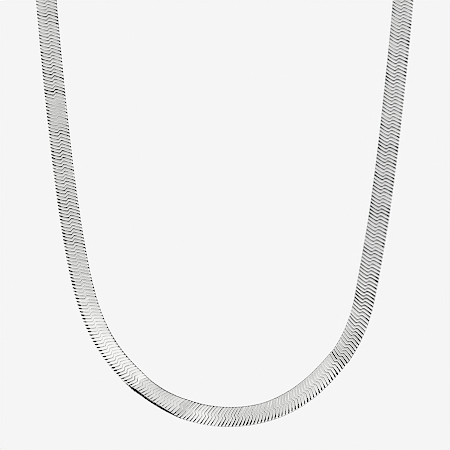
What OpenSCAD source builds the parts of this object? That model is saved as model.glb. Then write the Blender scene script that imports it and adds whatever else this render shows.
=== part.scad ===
// Herringbone chain: a flat, supple silver necklace of flattened links that hook through
// each other, held in the form it hangs in round a neck. Millimetres. Z is up, the front
// looks along -Y, and the origin is at the nape, midway between the two jump rings.

/* [Band] */
// Width of the band across its links
band_w = 5; // [4:0.5:7]
// Thickness of the band through both layers of its links
band_t = 1.2; // [1:0.1:1.6]
// Radius of the band's four long corners
band_edge_r = 0.2; // [0.1:0.05:0.4]

/* [Chest stretch] */
// Half the span of the two strands at the top of the chest stretch
strand_half = 43; // [38:1:50]
// Height of the chest stretch, from its top down to its lowest point
chest_drop = 100.5; // [85:0.5:120]
// Forward lean of the chest stretch from upright, in degrees
chest_lean = 10; // [0:1:16]
// How far the lowest point hangs to the side of the middle
chest_sway = 1.2; // [0:0.1:2]

/* [Neck stretch] */
// Distance from the clasp forwards to the top of the chest stretch
neck_depth = 64; // [54:1:72]
// Height of the clasp above the top of the chest stretch
neck_rise = 40; // [32:1:46]
// Angle between the clasp and each end of the band, in degrees
nape_turn = 24; // [16:1:32]

/* [End caps] */
// Length of band held inside an end cap
cap_grip = 4; // [3:0.5:6]
// Wall of an end cap round the band
cap_wall = 0.4; // [0.3:0.1:0.8]
// Length over which an end cap narrows to the middle of its eye
cap_taper = 3.5; // [3:0.5:5]

/* [Eyes and rings] */
// Radius of the hole in each eye
eye_hole_r = 0.85; // [0.75:0.05:1.1]
// Thickness of the metal round an eye's hole
eye_wire = 0.9; // [0.7:0.1:1.1]
// Radius of a jump ring, to the middle of its wire
ring_r = 1.9; // [1.8:0.1:2.4]
// Thickness of a jump ring's wire
ring_wire = 0.8; // [0.6:0.1:0.9]

/* [Clasp] */
// Length of the claw, to the middle of its wire
claw_l = 7.2; // [6:0.2:10]
// Width of the claw, to the middle of its wire
claw_w = 3.8; // [3.4:0.2:5]
// Thickness of the claw's slim side
claw_wire = 1.5; // [1.2:0.1:1.8]
// Thickness of the claw's heavy side
claw_back = 1.9; // [1.6:0.1:2.4]

/* [Fits] */
// Gap between the band and the cap that holds it
cap_fit = 0.15; // [0.1:0.05:0.25]
// Gap between a ring and each piece that pulls on it
ring_play = 0.15; // [0.1:0.05:0.2]

/* [Hidden] */

// The band's route up one side of the chest, from its lowest point. side is a share of
// strand_half, down a share of chest_drop and sway a share of chest_sway. The two twists
// turn the band about its own length, in degrees, on the left and on the right.
SIDE = 0;
DOWN = 1;
SWAY = 2;
TWIST_LEFT = 3;
TWIST_RIGHT = 4;
CHEST = [
  [0.000, 1.002, 1.00,  0,  0],
  [0.190, 0.991, 1.00, -8,  0],
  [0.355, 0.962, 0.95, 27,  0],
  [0.492, 0.921, 0.80, 27,  0],
  [0.617, 0.866, 0.65, -6,  0],
  [0.726, 0.792, 0.42, -2,  0],
  [0.797, 0.696, 0.20,  0,  0],
  [0.845, 0.582, 0.05,  0,  0],
  [0.893, 0.450, 0.02,  0,  0],
  [0.939, 0.292, 0.05,  0,  0],
  [0.984, 0.113, 0.08,  0,  0],
  [1.009, 0.000, 0.12,  0,  0]
];

// The route on round the neck. side is a share of strand_half, fore of neck_depth and
// below of neck_rise. The band's face looks face degrees round from the front and tilt
// degrees up.
FORE = 1;
BELOW = 2;
FACE = 3;
TILT = 4;
NECK = [
  [1.042, 0.920, 0.560,  32, 26],
  [1.040, 0.750, 0.240,  75, 38],
  [0.970, 0.520, 0.070, 110, 26],
  [0.780, 0.275, 0.000, 134,  8]
];

// Length of route between the end of the band and the point before it
END_STEP = 10;
// Steps along the band between two points of its route, and round each of its corners
BAND_STEPS = 8;
CORNER_STEPS = 2;
BAND_SIDES = 4 * (CORNER_STEPS + 1);
// Corners round the clasp's wire, and steps round each end of its claw and round its eye
CLASP_SIDES = 12;
CLAW_END_RINGS = 16;
EYE_RINGS = 24;
// How deep the clasp's eye is sunk into the claw that it is part of
EYE_WELD = 0.5;
// Fineness of round faces
$fn = 48;

ring_wire_r = ring_wire / 2;
eye_wire_r = eye_wire / 2;
eye_r = eye_hole_r + eye_wire_r;
eye_outer_r = eye_hole_r + eye_wire;

// A ring's wire lies this far from the middle of the eye that it pulls on
ring_in_eye = eye_hole_r - ring_wire_r - ring_play;
ring_to_eye = ring_r + ring_in_eye;

// The claw's two round ends, to the middle of its wire. A ring turns freely in the tip.
claw_half = claw_l / 2;
claw_wire_r = claw_wire / 2;
claw_end_r = claw_w / 2;
claw_tip_r = claw_back / 2 + ring_wire_r + ring_play;
claw_to_eye = claw_half + claw_wire_r + eye_outer_r - EYE_WELD;
claw_to_ring = claw_half - claw_wire_r - ring_wire_r - ring_play + ring_r;
rings_apart = ring_to_eye + claw_to_eye + claw_to_ring;
ring_x = rings_apart / 2;
claw_x = ring_x - claw_to_ring;

cap_inner_w = band_w + 2 * cap_fit;
cap_inner_t = band_t + 2 * cap_fit;
cap_outer_w = cap_inner_w + 2 * cap_wall;
cap_outer_t = cap_inner_t + 2 * cap_wall;
cap_end = cap_taper + cap_fit;

function unit(v) = v / norm(v);

// Cubic B-spline through a list of knots: its value and its slope in span k
function curve_at(knots, k, t) =
  ((1 - t)^3 * knots[k] + (3 * t^3 - 6 * t^2 + 4) * knots[k + 1]
   + (-3 * t^3 + 3 * t^2 + 3 * t + 1) * knots[k + 2] + t^3 * knots[k + 3]) / 6;
function slope_at(knots, k, t) =
  (-(1 - t)^2 * knots[k] + (3 * t^2 - 4 * t) * knots[k + 1]
   + (-3 * t^2 + 2 * t + 1) * knots[k + 2] + t^2 * knots[k + 3]) / 2;

// Knots hold x, y, z, face, tilt and twist. way is 1 on the right and -1 on the left.
function chest_knot(row, way) = [
  way * row[SIDE] * strand_half + row[SWAY] * chest_sway,
  -neck_depth - row[DOWN] * chest_drop * tan(chest_lean),
  -neck_rise - row[DOWN] * chest_drop,
  0,
  chest_lean,
  way > 0 ? row[TWIST_RIGHT] : row[TWIST_LEFT]
];
function neck_knot(row, way) = [
  way * row[SIDE] * strand_half,
  -row[FORE] * neck_depth,
  -row[BELOW] * neck_rise,
  way * row[FACE],
  row[TILT],
  0
];
function end_knot(steps, way) =
  let (along = ring_to_eye + cap_end + steps * END_STEP)
  [
    way * (ring_x + along * cos(nape_turn)),
    -along * sin(nape_turn),
    0,
    way * (180 - nape_turn),
    0,
    0
  ];
function half_knots(way) = concat(
  [for (i = [1 : len(CHEST) - 1]) chest_knot(CHEST[i], way)],
  [for (row = NECK) neck_knot(row, way)],
  [for (steps = [1, 0, -1]) end_knot(steps, way)]
);
function reversed(list) = [for (i = [len(list) - 1 : -1 : 0]) list[i]];

KNOTS = concat(reversed(half_knots(-1)), [chest_knot(CHEST[0], 1)], half_knots(1));
SPANS = len(KNOTS) - 3;

// A station holds its place, the way along the band, the way out of its face and the way
// to its inner edge
function station(k, t) =
  let (knot = curve_at(KNOTS, k, t))
  let (slope = slope_at(KNOTS, k, t))
  let (along = unit([slope[0], slope[1], slope[2]]))
  let (face = knot[3])
  let (tilt = knot[4])
  let (looks = [sin(face) * cos(tilt), -cos(face) * cos(tilt), sin(tilt)])
  let (flat = unit(looks - (looks * along) * along))
  let (out = cos(knot[5]) * flat + sin(knot[5]) * cross(flat, along))
  [[knot[0], knot[1], knot[2]], along, out, cross(out, along)];

STATIONS = [
  for (i = [0 : SPANS * BAND_STEPS])
    let (k = min(floor(i / BAND_STEPS), SPANS - 1))
    station(k, i / BAND_STEPS - k)
];

// Section of the band across its width and its thickness, with rounded corners
function band_section() = [
  for (i = [0 : 3], step = [0 : CORNER_STEPS])
    let (turn = (i - 1 + step / CORNER_STEPS) * 90)
    let (across = (i < 2 ? 1 : -1) * (band_w / 2 - band_edge_r))
    let (depth = (i == 1 || i == 2 ? 1 : -1) * (band_t / 2 - band_edge_r))
    [across + cos(turn) * band_edge_r, depth + sin(turn) * band_edge_r]
];

// Faces of a skin over rings of points. A closed skin joins its last ring to its first.
function skin_faces(rings, sides, closed) = [
  for (i = [0 : rings - (closed ? 1 : 2)], j = [0 : sides - 1])
    let (a = i * sides + j)
    let (b = i * sides + (j + 1) % sides)
    let (c = ((i + 1) % rings) * sides + (j + 1) % sides)
    let (d = ((i + 1) % rings) * sides + j)
    each [[a, c, b], [a, d, c]]
];

module herringbone_band() {
  section = band_section();
  points = [
    for (s = STATIONS, p = section)
      s[0] + p[0] * s[3] + p[1] * s[2]
  ];
  first = [for (j = [0 : BAND_SIDES - 1]) j];
  last = [for (j = [BAND_SIDES - 1 : -1 : 0]) (len(STATIONS) - 1) * BAND_SIDES + j];
  color("gainsboro")
    polyhedron(
      points,
      concat(skin_faces(len(STATIONS), BAND_SIDES, false), [first, last])
    );
}

// Outlines of an end cap, from the middle of its eye along the band: from its face and
// from its edge
module cap_outline(wide, narrow) {
  polygon([
    [0, -narrow / 2], [cap_taper, -wide / 2], [cap_end + cap_grip, -wide / 2],
    [cap_end + cap_grip, wide / 2], [cap_taper, wide / 2], [0, narrow / 2]
  ]);
}

module end_cap(way) {
  color("silver")
    translate([way * ring_x, 0, 0])
      rotate([0, 0, way > 0 ? -nape_turn : 180 + nape_turn])
        translate([ring_to_eye, 0, 0])
          difference() {
            intersection() {
              rotate([90, 0, 0])
                linear_extrude(cap_outer_t, center = true) {
                  cap_outline(cap_outer_w, 2 * eye_outer_r);
                  circle(eye_outer_r);
                }
              linear_extrude(cap_outer_w, center = true)
                union() {
                  cap_outline(cap_outer_t, eye_wire);
                  translate([-eye_outer_r, -eye_wire / 2])
                    square([eye_outer_r + cap_taper / 2, eye_wire]);
                }
            }
            translate([cap_taper, -cap_inner_t / 2, -cap_inner_w / 2])
              cube([cap_grip + 2 * cap_fit, cap_inner_t, cap_inner_w]);
            rotate([90, 0, 0])
              cylinder(h = cap_outer_t, r = eye_hole_r, center = true);
          }
}

module jump_ring(way) {
  color("silver")
    translate([way * ring_x, 0, 0])
      rotate_extrude()
        translate([ring_r, 0])
          circle(ring_wire_r);
}

// One closed loop of wire in the XZ plane: places along it and its wire's radius at each
module wire_loop(places, radii) {
  count = len(places);
  points = [
    for (i = [0 : count - 1])
      let (way = unit(places[(i + 1) % count] - places[(i + count - 1) % count]))
      let (side = [way[1], -way[0]])
      for (j = [0 : CLASP_SIDES - 1])
        let (turn = j * 360 / CLASP_SIDES)
        let (off = cos(turn) * radii[i] * side)
        [places[i][0] + off[0], sin(turn) * radii[i], places[i][1] + off[1]]
  ];
  polyhedron(points, skin_faces(count, CLASP_SIDES, true));
}

// The claw is two round ends, a smaller one at its tip, joined by straight sides. Its back,
// above, is heavier.
module lobster_clasp() {
  touch = acos((claw_end_r - claw_tip_r) / (claw_l - claw_end_r - claw_tip_r));
  claw_turns = [
    each [for (i = [0 : CLAW_END_RINGS]) (2 * i / CLAW_END_RINGS - 1) * touch],
    each [for (i = [0 : CLAW_END_RINGS]) touch + i / CLAW_END_RINGS * (360 - 2 * touch)]
  ];
  eye_turns = [for (i = [0 : EYE_RINGS - 1]) i * 360 / EYE_RINGS];
  color("silver")
    union() {
      translate([claw_x, 0, 0])
        wire_loop(
          [for (i = [0 : len(claw_turns) - 1])
            let (r = i > CLAW_END_RINGS ? claw_end_r : claw_tip_r)
            let (middle = i > CLAW_END_RINGS ? claw_end_r - claw_half : claw_half - claw_tip_r)
            [middle, 0] + r * [cos(claw_turns[i]), sin(claw_turns[i])]],
          [for (a = claw_turns)
            (claw_wire + (claw_back - claw_wire) * max(0, sin(a))^2) / 2]
        );
      translate([claw_x - claw_to_eye, 0, 0])
        wire_loop(
          [for (a = eye_turns) eye_r * [cos(a), sin(a)]],
          [for (a = eye_turns) eye_wire_r]
        );
    }
}

herringbone_band();
end_cap(-1);  // end_cap_left
end_cap(1);  // end_cap_right
jump_ring(-1);  // jump_ring_left
jump_ring(1);  // jump_ring_right
lobster_clasp();
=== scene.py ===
"""Looks of a silver herringbone chain: every flattened link, the end caps, rings and clasp."""

import math

import bpy
import numpy as np
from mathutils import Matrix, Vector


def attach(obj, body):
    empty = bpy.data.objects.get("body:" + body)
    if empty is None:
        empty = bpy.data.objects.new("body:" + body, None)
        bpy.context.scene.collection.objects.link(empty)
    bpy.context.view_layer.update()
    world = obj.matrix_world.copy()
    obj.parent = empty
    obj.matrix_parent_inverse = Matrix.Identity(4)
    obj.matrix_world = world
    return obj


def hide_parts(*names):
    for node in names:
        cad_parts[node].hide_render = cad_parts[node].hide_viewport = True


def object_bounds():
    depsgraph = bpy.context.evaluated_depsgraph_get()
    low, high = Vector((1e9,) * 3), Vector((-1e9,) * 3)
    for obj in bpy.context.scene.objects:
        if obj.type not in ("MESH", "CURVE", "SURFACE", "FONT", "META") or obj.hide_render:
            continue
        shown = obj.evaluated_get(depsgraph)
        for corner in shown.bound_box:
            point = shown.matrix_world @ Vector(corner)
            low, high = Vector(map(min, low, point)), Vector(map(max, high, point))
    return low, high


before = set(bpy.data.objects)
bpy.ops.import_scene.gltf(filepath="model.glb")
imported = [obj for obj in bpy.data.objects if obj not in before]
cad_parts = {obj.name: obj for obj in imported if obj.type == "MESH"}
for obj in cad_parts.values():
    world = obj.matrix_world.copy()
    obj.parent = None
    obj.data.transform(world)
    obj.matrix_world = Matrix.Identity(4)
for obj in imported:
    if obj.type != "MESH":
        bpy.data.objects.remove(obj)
cad_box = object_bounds()

MM = 0.001

# Driving sizes of the chain, in millimetres and degrees, as its solids have them
BAND_W = 5.0
BAND_T = 1.2
STRAND_HALF = 43.0
CHEST_DROP = 100.5
CHEST_LEAN = 10.0
CHEST_SWAY = 1.2
NECK_DEPTH = 64.0
NECK_RISE = 40.0
NAPE_TURN = 24.0
END_STEP = 10.0
# Middle of a jump ring from the origin, and from there to the end of the band
RING_X = 6.0
RING_TO_BAND = 5.85

# Route up one side of the chest, from its lowest point: shares of half span, drop and
# sway, and the band's twist about its length on the left and on the right, in degrees
CHEST = (
    (0.000, 1.002, 1.00, 0, 0),
    (0.190, 0.991, 1.00, -8, 0),
    (0.355, 0.962, 0.95, 27, 0),
    (0.492, 0.921, 0.80, 27, 0),
    (0.617, 0.866, 0.65, -6, 0),
    (0.726, 0.792, 0.42, -2, 0),
    (0.797, 0.696, 0.20, 0, 0),
    (0.845, 0.582, 0.05, 0, 0),
    (0.893, 0.450, 0.02, 0, 0),
    (0.939, 0.292, 0.05, 0, 0),
    (0.984, 0.113, 0.08, 0, 0),
    (1.009, 0.000, 0.12, 0, 0),
)
# Route on round the neck: shares of half span, depth and rise, and how far round and how
# far up the face looks, in degrees
NECK = (
    (1.042, 0.920, 0.560, 32, 26),
    (1.040, 0.750, 0.240, 75, 38),
    (0.970, 0.520, 0.070, 110, 26),
    (0.780, 0.275, 0.000, 134, 8),
)
# Samples of the route between two knots, and along the whole of it when links are spaced
ROUTE_STEPS = 400
SPACING_STEPS = 20000

# Links: thickness of their flattened wire, radius of their corners at the band's two edges,
# and how far the middle of their face stands out from its edges
WIRE_T = 0.42
OUTER_CORNER_R = 0.10
INNER_CORNER_R = 0.26
CROWN = 0.05
# How far along the chain a strip reaches over the outer and the inner half of the face, and
# how wide the jog between the halves is, as a share of half the face
OUTER_SLOPE = 1.00
INNER_SLOPE = 1.20
JOG_WIDTH = 0.12
# Places across half the face, as shares of it, that a strip's shape is worked out at
ACROSS = (0.00, 0.03, 0.06, 0.10, 0.15, 0.25, 0.42, 0.60, 0.68, 0.73, 0.78, 0.83, 0.88)
# Such places round each corner, and how high the ends of a wall lie on the inside, as a
# share of half its depth
CORNER_STATIONS = 2
WALL_END = 0.6
# Section of a strip: share of half its width, share of its thickness from the outside, and
# 1 where it widens at its foot to close the groove between it and the next. Its bevelled
# shoulders flatten out where the groove is narrower than FULL_BEVEL_GAP.
SECTION = (
    (-1.0, 1.0, 1),
    (-1.0, 0.80, 1),
    (-1.0, 0.60, 0),
    (-1.0, 0.28, 0),
    (-0.88, 0.07, 0),
    (-0.55, 0.0, 0),
    (0.55, 0.0, 0),
    (0.88, 0.07, 0),
    (1.0, 0.28, 0),
    (1.0, 0.60, 0),
    (1.0, 0.80, 1),
    (1.0, 1.0, 1),
)
# Sides of the section that shine, each by the number of the point that it starts from. The other
# sides take the painted shade of the grooves.
SHINING = (3, 4, 5, 6, 7)
# Groove left between two feet, groove from which the bevel is full, least share of the bevel
# that stays, and share of the thickness that the shoulders end above
FOOT_GAP = 0.05
FULL_BEVEL_GAP = 0.10
LEAST_BEVEL = 0.03
SHOULDER_DEPTH = 0.5
# What lies further back than this is the satin back, which rests on the skin
BACK_DEPTH = 0.5
# Material slots of a link, in the order that make_chain gives its metals in: shining metal, painted
# shade in the grooves, satin back
SHINE, DULL_PAINTED_SHADE, SATIN = range(3)
LINK_GROUPS = ("left_nape", "left_side", "left_strand", "right_strand", "right_side", "right_nape")

# The tables that follow say how the links lie along the chain. Each row starts with its
# place, in millimetres from the lowest point, the left side negative. A table runs on at its
# first and last values.

# Spacing of the links
PITCHES = (
    (-110, 0.851), (-60, 0.840), (-35, 0.828), (-15, 0.806), (10, 0.808), (25, 0.820), (33, 0.850),
)
# Slant of the links in the plane of the band, their inner edges towards its right end, in
# degrees
SLANTS = (
    (-60, 0), (-35, -2), (-20, -2), (-10, 1), (-4, 4), (3, 7), (8, 7), (14, 3), (20, -1), (26, -5),
    (29.9, -7), (31, -3), (38, 0),
)
# Half the jog that the strips have in the middle of the face
JOGS = (
    (-22, 0.50), (-12, 0.42), (3, 0.42), (8, 0.46), (16, 0.40), (24, 0.36), (29.9, 0.36),
    (31, 0.40), (38, 0.44), (48, 0.50),
)
# Lean of the links along the band, their faces towards its left end, in degrees
LEANS = (
    (-112, -1.5), (-98.4, 0), (-97.4, 5), (-92, 5), (-89, 0), (-60, 0), (-45, -3), (-33, -4),
    (-28, -8), (-24.2, -8), (-23.4, 0), (-14, 0), (-12.5, -2), (-9, -5), (-4, 0), (20, 0), (26, 3),
    (29.9, 3), (30.7, -5), (34, -3), (40, 2), (46, 4), (52, 2), (58, 0), (84, 0), (96, 2),
)
# How unevenly they lean, in degrees
LEAN_SPREADS = (
    (-98.4, 0.9), (-97.4, 0.5), (-91, 0.5), (-89, 0.9), (-26, 0.9), (-23, 0.15), (-14, 0.15),
    (-10, 0.9), (3, 0.9), (7, 0.5), (26, 0.5), (31, 0.9),
)
# Roll of the links about the band's length, beyond the band's own twist, their faces
# inwards, in degrees
ROLLS = (
    (-62, 0), (-50, -3), (-36, -5), (-31, -7), (-27.5, -11), (-25.4, -13), (-23.4, 1), (-22, 6.5),
    (-18, 6.5), (-16, 7.5), (-14, 8), (-13, 7), (-11.4, -3), (-9.6, -4), (-6, -3), (-2, 0), (11, 0),
    (17, -2.5), (24, -3), (29.9, -3), (30.9, 3), (33, 3), (42, 2), (54, 0),
)
# Share of the band's width that the links span, less where they lie slanted
SPANS = (
    (-60, 1.0), (-50, 0.99), (-42, 0.965), (-34, 0.95), (-23, 0.95), (-20, 0.98), (-15, 0.985),
    (-11, 0.955), (-4, 0.95), (2, 0.935), (8, 0.925), (14, 0.965), (20, 0.985), (26, 0.975),
    (32, 0.94), (38, 0.95), (46, 0.985), (52, 1.01), (58, 1.01), (64, 1.0),
)
# How far the links lie from the band's middle, inwards
SHIFTS = (
    (0, -0.02), (8, -0.10), (13, -0.05), (19, 0.04), (25.5, 0.14), (28, 0.08), (30.4, 0.02),
    (31, -0.12), (43, -0.12), (46.5, 0), (49, 0.11), (54, 0.17), (60, 0.09), (66, 0),
)
# Gap between one link and the next at the places across the face that GAPS_ACROSS gives,
# from the wall at the outer edge to the wall at the inner edge
GAPS_ACROSS = (-1.0, -0.82, -0.62, 0.0, 0.55, 0.86, 1.0)
GAPS = (
    (-110, 0.26, 0.09, 0.03, 0.13, 0.035, 0.15, 0.26),
    (-98.4, 0.28, 0.17, 0.10, 0.20, 0.09, 0.20, 0.30),
    (-97.6, 0.25, 0.19, 0.09, 0.06, 0.02, 0.11, 0.20),
    (-96.0, 0.25, 0.18, 0.06, 0.03, 0.01, 0.09, 0.20),
    (-95.4, 0.25, 0.17, 0.03, 0.02, 0.01, 0.09, 0.20),
    (-91, 0.25, 0.18, 0.03, 0.03, 0.02, 0.12, 0.20),
    (-89.5, 0.15, 0.20, 0.05, 0.19, 0.07, 0.19, 0.20),
    (-64, 0.15, 0.22, 0.04, 0.14, 0.045, 0.16, 0.16),
    (-57, 0.16, 0.21, 0.02, 0.07, 0.02, 0.05, 0.28),
    (-44, 0.11, 0.24, 0.01, 0.03, 0.005, 0.005, 0.26),
    (-32, 0.04, 0.25, 0.02, 0.03, 0.005, 0.0, 0.30),
    (-24.3, 0.02, 0.20, 0.04, 0.02, 0.005, 0.0, 0.34),
    (-23, 0.02, 0.15, 0.03, 0.0, 0.0, 0.0, 0.08),
    (-20, 0.02, 0.11, 0.02, 0.0, 0.0, 0.0, 0.04),
    (-18, 0.02, 0.04, 0.0, 0.0, 0.0, 0.0, 0.04),
    (-13.4, 0.02, 0.03, 0.0, 0.0, 0.0, 0.0, 0.05),
    (-12.4, 0.03, 0.06, 0.01, 0.01, 0.01, 0.01, 0.12),
    (-11, 0.06, 0.13, 0.02, 0.01, 0.02, 0.03, 0.14),
    (-8, 0.07, 0.20, 0.08, 0.05, 0.10, 0.10, 0.20),
    (-5, 0.07, 0.21, 0.11, 0.08, 0.17, 0.16, 0.16),
    (1, 0.07, 0.22, 0.11, 0.08, 0.14, 0.11, 0.10),
    (4, 0.08, 0.27, 0.13, 0.06, 0.10, 0.08, 0.10),
    (14, 0.08, 0.27, 0.07, 0.04, 0.03, 0.02, 0.06),
    (24, 0.08, 0.25, 0.05, 0.05, 0.015, 0.01, 0.08),
    (29.9, 0.14, 0.22, 0.12, 0.06, 0.02, 0.0, 0.0),
    (30.7, 0.18, 0.19, 0.16, 0.17, 0.22, 0.20, 0.24),
    (32.0, 0.18, 0.18, 0.14, 0.14, 0.17, 0.14, 0.18),
    (32.9, 0.18, 0.17, 0.13, 0.08, 0.07, 0.05, 0.14),
    (34.0, 0.18, 0.16, 0.14, 0.09, 0.06, 0.05, 0.14),
    (36, 0.18, 0.16, 0.15, 0.11, 0.09, 0.08, 0.14),
    (40, 0.20, 0.18, 0.16, 0.13, 0.15, 0.19, 0.23),
    (45, 0.21, 0.21, 0.17, 0.14, 0.18, 0.25, 0.30),
    (52, 0.24, 0.23, 0.14, 0.15, 0.14, 0.24, 0.28),
    (60, 0.28, 0.26, 0.135, 0.18, 0.13, 0.26, 0.28),
    (80, 0.28, 0.26, 0.135, 0.18, 0.13, 0.26, 0.28),
    (90, 0.27, 0.22, 0.09, 0.15, 0.08, 0.22, 0.27),
    (120, 0.25, 0.20, 0.075, 0.14, 0.065, 0.19, 0.25),
)
# How much each of these gaps follows the unevenness of a link's outer and inner half
GAP_HALVES = (
    (1, 1, 1, 0.5, 0, 0, 0),
    (0, 0, 0, 0.5, 1, 1, 1),
)
# Unevenness of the links: seed, spread of their places in millimetres, spread and limits of
# their gaps as shares, and spread of their slants in degrees
SEED = 7
PLACE_SPREAD = 0.008
GAP_SPREAD = 0.30
GAP_LIMITS = (0.4, 1.7)
SLANT_SPREAD = 0.4

# Metals: scale and detail of the clouds in their roughness and tint, the part of that noise
# in use, and how many times more the roughness varies than the tint
CLOUD_SCALE = 900.0
CLOUD_DETAIL = 4.0
CLOUD_RANGE = (0.3, 0.7)
ROUGHNESS_TO_TINT = 7
# Fine scratches, their depth in metres
SCRATCH_SCALE = 6000.0
SCRATCH_DETAIL = 3.0
SCRATCH_DEPTH = 0.00002
# Painted shade in the grooves: dull metal coloured near black where shade falls between the links,
# with its darkest and lightest tone
RECESS_SCALE = 1500.0
RECESS_DETAIL = 2.0
RECESS_ROUGHNESS = 0.6
RECESS_SHADE_TONES = (0.02, 0.10)

# Picture: the photo's side in pixels, its scale, and the column that the chain's middle is in
PHOTO_SIDE = 450
MM_PER_PIXEL = 0.2415
PHOTO_MIDDLE_X = 224.2
# Sharpening of the picture, as a share of the filter's full strength
SHARPEN = 0.22
# Camera: how far it stands from the front stretch, its sensor, and its sight in metres
CAMERA_DISTANCE = 1200.0
SENSOR = 36.0
CAMERA_SIGHT = 100.0
# Floor: how far it lies below the chain, and how far it reaches each way
FLOOR_BELOW = 30.0
FLOOR_REACH = 3000.0

# Light: the pale background, the surround, and the greyer patch in front that a flat link
# mirrors. PATCH_HEIGHT is how high the patch's middle stands, and from there the patch fades
# out between PATCH_INSIDE and PATCH_OUTSIDE, all in degrees.
BACKGROUND = 0.913
SURROUND = 1.04
PATCH_LIGHT = 0.64
PATCH_HEIGHT = 28.0
PATCH_INSIDE = 4.0
PATCH_OUTSIDE = 26.0
# Places on the surround are those on a globe of radius 1, and each pair is a stretch over
# which the light changes. Behind the chain it is dark above the first of these stretches of
# height and below the second, and on the right between the two after them as well.
DARK_ABOVE = (0.22, 0.30)
DARK_BELOW = (-0.46, -0.38)
DARK_RIGHT_ABOVE = (-0.26, -0.20)
DARK_RIGHT_BELOW = (-0.07, -0.01)
DARKNESS = 0.97
# Where the right starts, and where the part behind the chain does
RIGHT = (0.0, 0.06)
BEHIND = (-0.20, 0.10)
# All round it is grey above the first stretch of height, and darker still above the second
GREY_ABOVE = (0.60, 0.72)
GREY = 0.82
DARKER_ABOVE = (0.88, 0.985)
DARKER = 0.20


def chest_knot(row, way):
    """Route knot x, y, z, face, tilt and twist of one row of CHEST."""
    side, down, sway, twist_left, twist_right = row
    return [
        way * side * STRAND_HALF + sway * CHEST_SWAY,
        -NECK_DEPTH - down * CHEST_DROP * math.tan(math.radians(CHEST_LEAN)),
        -NECK_RISE - down * CHEST_DROP,
        0.0,
        CHEST_LEAN,
        twist_right if way > 0 else twist_left,
    ]


def neck_knot(row, way):
    """Route knot of one row of NECK."""
    side, fore, below, face, tilt = row
    return [way * side * STRAND_HALF, -fore * NECK_DEPTH, -below * NECK_RISE, way * face, tilt, 0.0]


def end_knot(steps, way):
    """Route knot at the end of the band, or steps of END_STEP from it."""
    along = RING_TO_BAND + steps * END_STEP
    turn = math.radians(NAPE_TURN)
    x = way * (RING_X + along * math.cos(turn))
    return [x, -along * math.sin(turn), 0.0, way * (180.0 - NAPE_TURN), 0.0, 0.0]


def half_knots(way):
    """Knots from the lowest point up and round one side."""
    chest = [chest_knot(row, way) for row in CHEST[1:]]
    neck = [neck_knot(row, way) for row in NECK]
    return chest + neck + [end_knot(steps, way) for steps in (1, 0, -1)]


def spline(knots):
    """Fine samples of the smooth curve that the knots pull on."""
    t = np.linspace(0.0, 1.0, ROUTE_STEPS, endpoint=False)[:, None]
    weights = ((1 - t) ** 3, 3 * t**3 - 6 * t**2 + 4, -3 * t**3 + 3 * t**2 + 3 * t + 1, t**3)
    pieces = [
        sum(weight * knot for weight, knot in zip(weights, knots[k : k + 4])) / 6
        for k in range(len(knots) - 3)
    ]
    return np.vstack(pieces)


def unit(v):
    """Rows of v at length 1."""
    return v / np.linalg.norm(v, axis=-1, keepdims=True)


def square_to(v, axis):
    """Rows of v made square to the rows of axis, at length 1."""
    return unit(v - (v * axis).sum(1, keepdims=True) * axis)


def route():
    """Fine samples of the route: distance, place, way along and way out of the face."""
    rows = spline(np.array(half_knots(-1)[::-1] + [chest_knot(CHEST[0], 1)] + half_knots(1)))
    place = rows[:, :3]
    face, tilt, twist = (np.radians(rows[:, i]) for i in (3, 4, 5))
    distance = np.concatenate([[0.0], np.cumsum(np.linalg.norm(np.diff(place, axis=0), axis=1))])
    along = unit(np.gradient(place, distance, axis=0))
    level = np.cos(tilt)
    looks = np.stack([np.sin(face) * level, -np.cos(face) * level, np.sin(tilt)], axis=1)
    flat = square_to(looks, along)
    out = np.cos(twist)[:, None] * flat + np.sin(twist)[:, None] * np.cross(flat, along)
    return distance, place, along, out


def along_at(share):
    """How far along the chain a strip lies at a share of half the face, but for its jog."""
    return (OUTER_SLOPE if share < 0 else INNER_SLOPE) * share


def link_stations():
    """Stations once round a link, from the outer edge of its face.

    Each row holds v and n of the outer surface and of the inner one, how far along the chain
    the strip lies there, and its share of the jog. v runs inwards across the band from its
    middle, and n out of its face.
    """
    half_w, half_t = BAND_W / 2, BAND_T / 2
    edge_t = half_t - CROWN
    inner_w, inner_t = half_w - WIRE_T, edge_t - WIRE_T
    shares = [-share for share in ACROSS[:0:-1]] + list(ACROSS)
    turns = np.radians(90.0 * np.arange(1, CORNER_STATIONS + 1) / (CORNER_STATIONS + 1))
    this_end = (along_at(1.0), -1.0)
    next_start = (along_at(-1.0), 1.0)
    rows = []
    for side, corner_r in ((1, INNER_CORNER_R), (-1, OUTER_CORNER_R)):
        wall_t = edge_t - corner_r
        v_inside, n_inside = side * inner_w, side * inner_t
        corner = [
            (half_w - corner_r + corner_r * math.sin(turn), wall_t + corner_r * math.cos(turn))
            for turn in turns
        ]
        for share in shares:
            v = side * share * half_w
            n = side * (half_t - CROWN * share * share)
            lie = (along_at(share), -math.tanh(share / JOG_WIDTH))
            rows.append((v, n, np.clip(v, -inner_w, inner_w), n_inside, *lie))
        for v, n in corner:
            rows.append((side * v, side * n, v_inside, n_inside, *this_end))
        for end, lie in ((1, this_end), (-1, next_start)):
            n = end * side * wall_t
            rows.append((side * half_w, n, v_inside, end * n_inside * WALL_END, *lie))
        for v, n in corner[::-1]:
            rows.append((side * v, -side * n, v_inside, -n_inside, *next_start))
    return np.array(rows)


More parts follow.
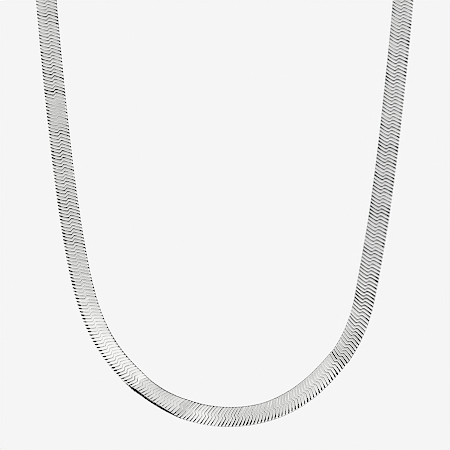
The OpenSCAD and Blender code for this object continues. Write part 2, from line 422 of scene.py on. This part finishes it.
def link_faces():
    """Quads of one link, and the material slot of each."""
    depths = link_stations()[:, 1]
    count, sides = len(depths), len(SECTION)
    faces, slots = [], []
    for i in range(count):
        k = (i + 1) % count
        outside = SATIN if max(depths[i], depths[k]) < -BACK_DEPTH else SHINE
        for j in range(sides):
            m = (j + 1) % sides
            faces.append((i * sides + j, i * sides + m, k * sides + m, k * sides + j))
            # Sides that do not shine take the near-black painted shade of the grooves
            slots.append(outside if j in SHINING else DULL_PAINTED_SHADE)
    return np.array(faces), np.array(slots)


def table_at(table, place, column=1):
    """Values of a table's column at the given places, in straight lines between its rows."""
    return np.interp(place, [row[0] for row in table], [row[column] for row in table])


def link_points(pitch, gaps, slants, jogs, spans):
    """Points of every link in the band's own directions: along, inwards and outwards."""
    v, n, inner_v, inner_n, slope, jog = link_stations().T
    share = v / (BAND_W / 2)
    weights = np.stack([np.interp(share, GAPS_ACROSS, row) for row in np.eye(len(GAPS_ACROSS))])
    gap = gaps @ weights
    width = pitch[:, None] - gap
    across, depth, foot = np.array(SECTION).T
    foot_width = pitch[:, None] - FOOT_GAP
    width = width[..., None] + foot * (foot_width - width)[..., None]
    bevel = np.clip(gap / FULL_BEVEL_GAP, LEAST_BEVEL, 1.0)[..., None]
    depth = np.where(depth < SHOULDER_DEPTH, depth * bevel, depth)
    lie = slope + jogs[:, None] * jog
    points = np.empty((*depth.shape, 3))
    points[..., 1] = (v[:, None] + (inner_v - v)[:, None] * depth) * spans[:, None, None]
    points[..., 0] = lie[..., None] + across * width / 2 + slants[:, None, None] * points[..., 1]
    points[..., 2] = n[:, None] + (inner_n - n)[:, None] * depth
    return points.reshape(len(pitch), -1, 3)


def link_places(length, lowest):
    """Distance of each link's middle along the route, the links spaced as PITCHES says."""
    fine = np.linspace(0.0, length, SPACING_STEPS)
    links_in_step = np.diff(fine) / table_at(PITCHES, fine[1:] - lowest)
    count_to = np.concatenate([[0.0], np.cumsum(links_in_step)])
    count = int(round(count_to[-1]))
    return np.interp((np.arange(count) + 0.5) * count_to[-1] / count, count_to, fine)


def turned(first, second, degrees):
    """Two directions turned in their own plane, the first towards the second."""
    c, s = np.cos(np.radians(degrees))[:, None], np.sin(np.radians(degrees))[:, None]
    return c * first + s * second, c * second - s * first


def chain_points():
    """Points of every link in its place on the route, one row a link."""
    distance, place, along, out = route()
    lowest = distance[place[:, 2].argmin()]
    middles = link_places(distance[-1], lowest)
    count = len(middles)
    spot = middles - lowest

    rng = np.random.default_rng(SEED)
    middles = middles + rng.normal(0.0, PLACE_SPREAD, count)
    uneven = np.clip(rng.normal(1.0, GAP_SPREAD, (count, 2)), *GAP_LIMITS)
    slants = table_at(SLANTS, spot) + rng.normal(0.0, SLANT_SPREAD, count)
    leans = table_at(LEANS, spot) + rng.normal(0.0, 1.0, count) * table_at(LEAN_SPREADS, spot)

    gaps = np.stack([table_at(GAPS, spot, c) for c in range(1, len(GAPS[0]))], axis=1)
    gaps *= uneven @ np.array(GAP_HALVES)
    local = link_points(
        table_at(PITCHES, spot),
        gaps,
        np.tan(np.radians(slants)),
        table_at(JOGS, spot),
        table_at(SPANS, spot),
    )

    centre, x, z = (
        np.stack([np.interp(middles, distance, column) for column in samples.T], axis=1)
        for samples in (place, along, out)
    )
    x = unit(x)
    z = square_to(z, x)
    y = np.cross(z, x)
    centre = centre + table_at(SHIFTS, spot)[:, None] * y
    z, y = turned(z, y, table_at(ROLLS, spot))
    x, z = turned(x, z, leans)
    return centre[:, None] + np.einsum("lpi,lij->lpj", local, np.stack([x, y, z], axis=1))


def joined_mesh(name, points, faces, materials, slots):
    """One mesh object from points in millimetres and quads."""
    mesh = bpy.data.meshes.new(name)
    mesh.vertices.add(len(points))
    mesh.vertices.foreach_set("co", (points * MM).astype(np.float32).ravel())
    mesh.loops.add(faces.size)
    mesh.loops.foreach_set("vertex_index", faces.astype(np.int32).ravel())
    mesh.polygons.add(len(faces))
    mesh.polygons.foreach_set("loop_start", np.arange(0, faces.size, 4, dtype=np.int32))
    mesh.polygons.foreach_set("loop_total", np.full(len(faces), 4, dtype=np.int32))
    for material in materials:
        mesh.materials.append(material)
    mesh.polygons.foreach_set("material_index", slots.astype(np.int32))
    mesh.polygons.foreach_set("use_smooth", np.ones(len(faces), dtype=bool))
    mesh.update(calc_edges=True)
    mesh.validate()
    piece = bpy.data.objects.new(name, mesh)
    bpy.context.scene.collection.objects.link(piece)
    return piece


def new_material(name):
    """A material with nodes: the material, its nodes and their links."""
    material = bpy.data.materials.new(name)
    material.use_nodes = True
    return material, material.node_tree.nodes, material.node_tree.links


def noise(nodes, links, scale, detail):
    """Noise all through a piece's own space."""
    place = nodes.new("ShaderNodeTexCoord")
    texture = nodes.new("ShaderNodeTexNoise")
    texture.inputs["Scale"].default_value = scale
    texture.inputs["Detail"].default_value = detail
    links.new(place.outputs["Object"], texture.inputs["Vector"])
    return texture.outputs["Fac"]


def silver(name, colour, rough, spread, grain):
    """Silver with cloudy roughness, which varies by a share of itself, and fine scratches."""
    material, nodes, links = new_material(name)
    shader = nodes["Principled BSDF"]
    shader.inputs["Metallic"].default_value = 1.0
    clouds = noise(nodes, links, CLOUD_SCALE, CLOUD_DETAIL)
    rough_range = nodes.new("ShaderNodeMapRange")
    rough_range.inputs["From Min"].default_value = CLOUD_RANGE[0]
    rough_range.inputs["From Max"].default_value = CLOUD_RANGE[1]
    rough_range.inputs["To Min"].default_value = rough * (1 - spread)
    rough_range.inputs["To Max"].default_value = rough * (1 + spread)
    links.new(clouds, rough_range.inputs["Value"])
    links.new(rough_range.outputs["Result"], shader.inputs["Roughness"])
    darker = 1 - spread / ROUGHNESS_TO_TINT
    tint = nodes.new("ShaderNodeMix")
    tint.data_type = "RGBA"
    tint.inputs["A"].default_value = (*[c * darker for c in colour], 1.0)
    tint.inputs["B"].default_value = (*colour, 1.0)
    links.new(clouds, tint.inputs["Factor"])
    links.new(tint.outputs["Result"], shader.inputs["Base Color"])
    bump = nodes.new("ShaderNodeBump")
    bump.inputs["Strength"].default_value = grain
    bump.inputs["Distance"].default_value = SCRATCH_DEPTH
    links.new(noise(nodes, links, SCRATCH_SCALE, SCRATCH_DETAIL), bump.inputs["Height"])
    links.new(bump.outputs["Normal"], shader.inputs["Normal"])
    return material


def recess_painted_shade():
    """Dull metal down the sides of the links, coloured near black as painted shade for the grooves
    between them.
    """
    material, nodes, links = new_material("recess_painted_shade")
    shader = nodes["Principled BSDF"]
    shader.inputs["Metallic"].default_value = 1.0
    shader.inputs["Roughness"].default_value = RECESS_ROUGHNESS
    ramp = nodes.new("ShaderNodeValToRGB")
    for element, tone in zip(ramp.color_ramp.elements, RECESS_SHADE_TONES):
        element.color = (tone, tone, tone, 1.0)
    links.new(noise(nodes, links, RECESS_SCALE, RECESS_DETAIL), ramp.inputs["Fac"])
    links.new(ramp.outputs["Color"], shader.inputs["Base Color"])
    return material


def make_chain():
    """All the links along the route, joined in a few long groups."""
    shine = silver("link_silver", colour=(0.90, 0.90, 0.89), rough=0.105, spread=0.43, grain=0.15)
    satin = silver("satin_silver", colour=(0.88, 0.88, 0.87), rough=0.32, spread=0.15, grain=0.1)
    # The second metal is painted shade: near-black dull metal down the sides of the links
    metals = (shine, recess_painted_shade(), satin)
    points = chain_points()
    faces, slots = link_faces()
    for g, name in enumerate(LINK_GROUPS):
        first, last = (k * len(points) // len(LINK_GROUPS) for k in (g, g + 1))
        group = last - first
        steps = points.shape[1] * np.arange(group)[:, None, None]
        piece = joined_mesh(
            f"links_{name}",
            points[first:last].reshape(-1, 3),
            (faces + steps).reshape(-1, 4),
            metals,
            np.tile(slots, group),
        )
        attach(piece, "root")
        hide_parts("herringbone_band")


def make_fittings():
    """Plain silver on the caps, rings and clasp."""
    fitting = silver(
        "fitting_silver", colour=(0.85, 0.85, 0.84), rough=0.27, spread=0.08, grain=0.06
    )
    for name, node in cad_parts.items():
        if name != "herringbone_band":
            node.data.materials.clear()
            node.data.materials.append(fitting)


def make_stage():
    """A pale floor under the chain, which glows as the background does."""
    floor_z = cad_box[0][2] - FLOOR_BELOW * MM
    reach = FLOOR_REACH * MM
    mesh = bpy.data.meshes.new("floor")
    corners = [(x * reach, y * reach, floor_z) for x, y in ((-1, -1), (1, -1), (1, 1), (-1, 1))]
    mesh.from_pydata(corners, [], [(0, 1, 2, 3)])
    floor = bpy.data.objects.new("floor", mesh)
    bpy.context.scene.collection.objects.link(floor)
    material, nodes, links = new_material("floor")
    nodes.clear()
    glow = nodes.new("ShaderNodeEmission")
    glow.inputs["Color"].default_value = (BACKGROUND, BACKGROUND, BACKGROUND, 1.0)
    output = nodes.new("ShaderNodeOutputMaterial")
    links.new(glow.outputs["Emission"], output.inputs["Surface"])
    mesh.materials.append(material)
    floor.visible_glossy = False


def make_light():
    """A pale surround with a greyer patch in front, and dark overhead, behind and below."""
    world = bpy.data.worlds.new("studio")
    bpy.context.scene.world = world
    world.use_nodes = True
    nodes, links = world.node_tree.nodes, world.node_tree.links
    nodes.clear()

    def ramp(value, stretch, start, end):
        """Goes smoothly from start to end while the value crosses the stretch."""
        step = nodes.new("ShaderNodeMapRange")
        step.interpolation_type = "SMOOTHSTEP"
        step.inputs["From Min"].default_value = stretch[0]
        step.inputs["From Max"].default_value = stretch[1]
        step.inputs["To Min"].default_value = start
        step.inputs["To Max"].default_value = end
        links.new(value, step.inputs["Value"])
        return step.outputs["Result"]

    def maths(operation, first, second):
        """One value made of two by the named operation."""
        node = nodes.new("ShaderNodeMath")
        node.operation = operation
        links.new(first, node.inputs[0])
        links.new(second, node.inputs[1])
        return node.outputs["Value"]

    where = nodes.new("ShaderNodeTexCoord").outputs["Generated"]
    towards = nodes.new("ShaderNodeVectorMath")
    towards.operation = "DOT_PRODUCT"
    high = math.radians(PATCH_HEIGHT)
    towards.inputs[1].default_value = (0.0, -math.cos(high), math.sin(high))
    links.new(where, towards.inputs[0])
    edge = [math.cos(math.radians(angle)) for angle in (PATCH_OUTSIDE, PATCH_INSIDE)]
    patch = ramp(towards.outputs["Value"], edge, SURROUND, PATCH_LIGHT)

    split = nodes.new("ShaderNodeSeparateXYZ")
    links.new(where, split.inputs[0])
    x, y, z = (split.outputs[axis] for axis in "XYZ")
    above = ramp(z, DARK_ABOVE, 0.0, 1.0)
    below = ramp(z, DARK_BELOW, 1.0, 0.0)
    right_above = ramp(z, DARK_RIGHT_ABOVE, 0.0, 1.0)
    right_below = ramp(z, DARK_RIGHT_BELOW, 1.0, 0.0)
    between = maths("MULTIPLY", right_above, right_below)
    right = maths("MULTIPLY", ramp(x, RIGHT, 0.0, 1.0), between)
    dark = maths("MAXIMUM", above, maths("MAXIMUM", below, right))
    dark_behind = maths("MULTIPLY", dark, ramp(y, BEHIND, 0.0, DARKNESS))
    lit = nodes.new("ShaderNodeMath")
    lit.operation = "SUBTRACT"
    lit.inputs[0].default_value = 1.0
    links.new(dark_behind, lit.inputs[1])
    grey = ramp(z, GREY_ABOVE, 1.0, GREY)
    overhead = maths("MULTIPLY", grey, ramp(z, DARKER_ABOVE, 1.0, DARKER))
    light = maths("MULTIPLY", maths("MULTIPLY", patch, overhead), lit.outputs["Value"])

    seen = nodes.new("ShaderNodeLightPath")
    shown = nodes.new("ShaderNodeMix")
    shown.data_type = "FLOAT"
    shown.inputs["B"].default_value = BACKGROUND
    links.new(seen.outputs["Is Camera Ray"], shown.inputs["Factor"])
    links.new(light, shown.inputs["A"])
    sky = nodes.new("ShaderNodeBackground")
    sky.inputs["Color"].default_value = (1.0, 1.0, 1.0, 1.0)
    links.new(shown.outputs["Result"], sky.inputs["Strength"])
    output = nodes.new("ShaderNodeOutputWorld")
    links.new(sky.outputs["Background"], output.inputs["Surface"])


def make_picture():
    """Plain colours, and the slight sharpening that the photo has."""
    scene = bpy.context.scene
    scene.view_settings.view_transform = "Standard"
    scene.use_nodes = True
    nodes, links = scene.node_tree.nodes, scene.node_tree.links
    nodes.clear()
    layers = nodes.new("CompositorNodeRLayers")
    crisp = nodes.new("CompositorNodeFilter")
    crisp.filter_type = "SHARPEN_DIAMOND"
    crisp.inputs["Fac"].default_value = SHARPEN
    output = nodes.new("CompositorNodeComposite")
    links.new(layers.outputs["Image"], crisp.inputs["Image"])
    links.new(crisp.outputs["Image"], output.inputs["Image"])


def make_camera():
    """A long lens square on to the front, framed as the photo is."""
    data = bpy.data.cameras.new("camera")
    data.sensor_width = SENSOR
    span = PHOTO_SIDE * MM_PER_PIXEL
    data.lens = SENSOR * CAMERA_DISTANCE / span
    data.clip_end = CAMERA_SIGHT
    camera = bpy.data.objects.new("camera", data)
    chest_y = -NECK_DEPTH - CHEST_DROP * math.tan(math.radians(CHEST_LEAN)) / 2
    x = (PHOTO_SIDE / 2 - PHOTO_MIDDLE_X) * MM_PER_PIXEL
    z = -NECK_RISE - span / 2
    camera.location = (x * MM, (chest_y - CAMERA_DISTANCE) * MM, z * MM)
    camera.rotation_euler = (math.pi / 2, 0.0, 0.0)
    bpy.context.scene.collection.objects.link(camera)
    bpy.context.scene.camera = camera


make_camera()
make_light()
make_stage()
make_picture()
make_chain()
make_fittings()
